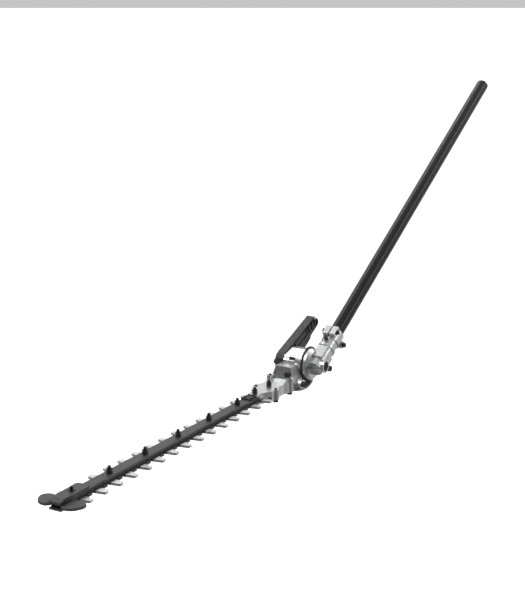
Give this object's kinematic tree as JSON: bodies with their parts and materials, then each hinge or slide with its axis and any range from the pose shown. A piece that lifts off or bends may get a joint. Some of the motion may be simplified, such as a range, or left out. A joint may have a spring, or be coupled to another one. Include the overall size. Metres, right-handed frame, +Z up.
{
  "type": "articulated hedge trimmer attachment",
  "caption": "Long black shaft tube with an articulated cast gear head, a ribbed-latch handle and a double-sided reciprocating cutter bar with a winged tip guard.",
  "frame": {"origin": "free end of the shaft tube, on its axis", "axes": "+X from the cutter's tip towards the shaft, +Y along the articulation pivot, +Z up; the shaft rises 30 degrees from the cutter"},
  "size_m": [1.4974, 0.0962, 0.4997],
  "materials": {
    "black_tube": "smooth satin black",
    "cast_aluminium": "fine shot-blasted die casting",
    "black_fasteners": "black oxide",
    "black_plastic": "moulded, fine texture",
    "black_guard": "powder coat",
    "rubber": "matt",
    "felt": "pressed felt",
    "ground_steel": "ground edges, black-coated roots",
    "steel": "machined"
  },
  "bodies": {
    "shaft_unit": {"shaft_tube": "black_tube", "shaft_bushes": "black_plastic", "upper_housing": "cast_aluminium", "pivot_seal": "rubber", "index_plate": "steel", "pivot_spigot": "steel", "pivot_ring_nut": "steel", "cross_shaft_bearings": "steel", "input_bearings": "steel", "boss_cap": "rubber", "clamp_screws": "black_fasteners", "clamp_nut": "black_fasteners", "locating_screw": "black_fasteners", "plug_screw": "black_fasteners"},
    "drive": {"drive_shaft": "steel", "input_pinion": "steel"},
    "cross": {"cross_shaft": "steel", "cross_gear": "steel", "output_gear": "steel"},
    "gearcase": {"gearcase_top": "cast_aluminium", "gearcase_bottom": "cast_aluminium", "block_cover": "cast_aluminium", "window_plug": "rubber", "case_screws": "black_fasteners", "side_screws": "black_fasteners", "handle": "black_plastic", "handle_bolts": "black_fasteners", "guide_bar": "black_guard", "bar_clip": "black_guard", "bar_studs": "black_fasteners", "bar_nuts": "black_fasteners", "stud_bushes": "steel", "guard_bush": "steel", "tip_guard": "black_guard", "guard_screw": "black_fasteners", "felt_wiper": "felt", "crank_bearings": "steel", "latch_spring": "steel"},
    "pinion_shaft": {"pinion_shaft": "steel", "pinion_shaft_gear": "steel", "crank_pinion": "steel"},
    "crank": {"crankshaft": "steel", "crank_gear": "steel"},
    "upper_rod": {"upper_rod": "steel"},
    "lower_rod": {"lower_rod": "steel"},
    "upper_blade": {"upper_blade": "ground_steel"},
    "lower_blade": {"lower_blade": "ground_steel"},
    "latch": {"latch_slider": "black_plastic"},
    "lock_pin": {"lock_pin": "steel"}
  },
  "joints": [
    {"name": "articulation", "type": "hinge", "parent": "shaft_unit", "child": "gearcase", "pos_m": [-0.77942, 0.038, -0.45], "axis": [0, 1, 0], "range_deg": [-75, 60]},
    {"name": "drive_spin", "type": "hinge", "parent": "shaft_unit", "child": "drive", "pos_m": [-0.77942, 0, -0.45], "axis": [0.866, 0, 0.5], "continuous": true},
    {"name": "cross_spin", "type": "hinge", "parent": "shaft_unit", "child": "cross", "pos_m": [-0.77942, 0.038, -0.45], "axis": [0, 1, 0], "continuous": true},
    {"name": "pinion_shaft_spin", "type": "hinge", "parent": "gearcase", "child": "pinion_shaft", "pos_m": [-0.78942, 0.038, -0.45], "axis": [1, 0, 0], "continuous": true},
    {"name": "crank_spin", "type": "hinge", "parent": "gearcase", "child": "crank", "pos_m": [-0.82142, 0.038, -0.45], "axis": [0, 0, 1], "continuous": true},
    {"name": "upper_rod_turn", "type": "hinge", "parent": "crank", "child": "upper_rod", "pos_m": [-0.82142, 0.046, -0.45], "axis": [0, 0, 1], "continuous": true},
    {"name": "lower_rod_turn", "type": "hinge", "parent": "crank", "child": "lower_rod", "pos_m": [-0.82142, 0.03, -0.45], "axis": [0, 0, 1], "continuous": true},
    {"name": "upper_blade_slide", "type": "slide", "parent": "gearcase", "child": "upper_blade", "axis": [1, 0, 0], "range_m": [-0.008, 0.008]},
    {"name": "lower_blade_slide", "type": "slide", "parent": "gearcase", "child": "lower_blade", "axis": [1, 0, 0], "range_m": [-0.008, 0.008]},
    {"name": "latch_slide", "type": "slide", "parent": "gearcase", "child": "latch", "axis": [0.9361, 0, 0.3518], "range_m": [-0.008, 0], "stiffness_N_per_m": 250, "springref_m": -0.012, "deforming": ["latch_spring"]},
    {"name": "lock_pin_slide", "type": "slide", "parent": "gearcase", "child": "lock_pin", "axis": [0, 1, 0], "range_m": [-0.004, 0]}
  ],
  "couplings": [
    {"joint": "cross_spin", "follows": "drive_spin", "ratio": -0.75},
    {"joint": "pinion_shaft_spin", "follows": "drive_spin", "ratio": -1},
    {"joint": "crank_spin", "follows": "drive_spin", "ratio": -0.33333},
    {"joint": "upper_rod_turn", "follows": "drive_spin", "ratio": 0.33333},
    {"joint": "lower_rod_turn", "follows": "drive_spin", "ratio": 0.33333},
    {"joint": "lower_blade_slide", "follows": "upper_blade_slide", "ratio": -1},
    {"joint": "lock_pin_slide", "follows": "latch_slide", "ratio": 0.5}
  ]
}
